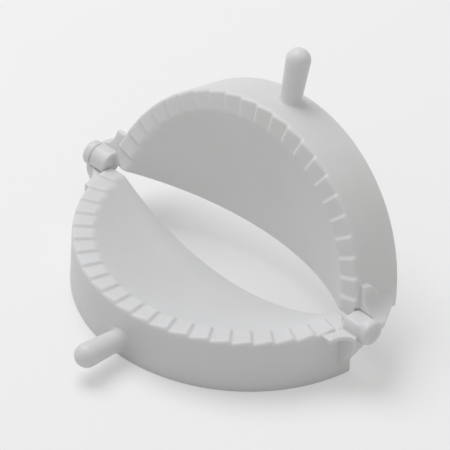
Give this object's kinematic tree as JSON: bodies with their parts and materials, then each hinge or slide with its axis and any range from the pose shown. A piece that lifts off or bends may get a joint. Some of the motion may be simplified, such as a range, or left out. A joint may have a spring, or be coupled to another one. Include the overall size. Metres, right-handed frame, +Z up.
{
  "type": "dumpling press",
  "caption": "Hinged dumpling press in white plastic: half-round shells with shallow bowls, saw-tooth pleated rims, a deep cutting skirt and short peg handles.",
  "frame": {"origin": "on the surface the press stands on, at the bottom centre of the box that it fills as shown, 16.9 mm in front of the hinge axis", "axes": "+X along the hinge axis, +Z up, -Y from the hinge over the half that lies flat"},
  "size_m": [0.12, 0.0944, 0.0783],
  "materials": {
    "white_plastic": "satin"
  },
  "bodies": {
    "front": {"front_half": "white_plastic"},
    "back": {"back_half": "white_plastic"}
  },
  "joints": [
    {"name": "hinge", "type": "hinge", "parent": "front", "child": "back", "pos_m": [0, 0.01694, 0.019], "axis": [1, 0, 0], "range_deg": [-75, 105]}
  ]
}
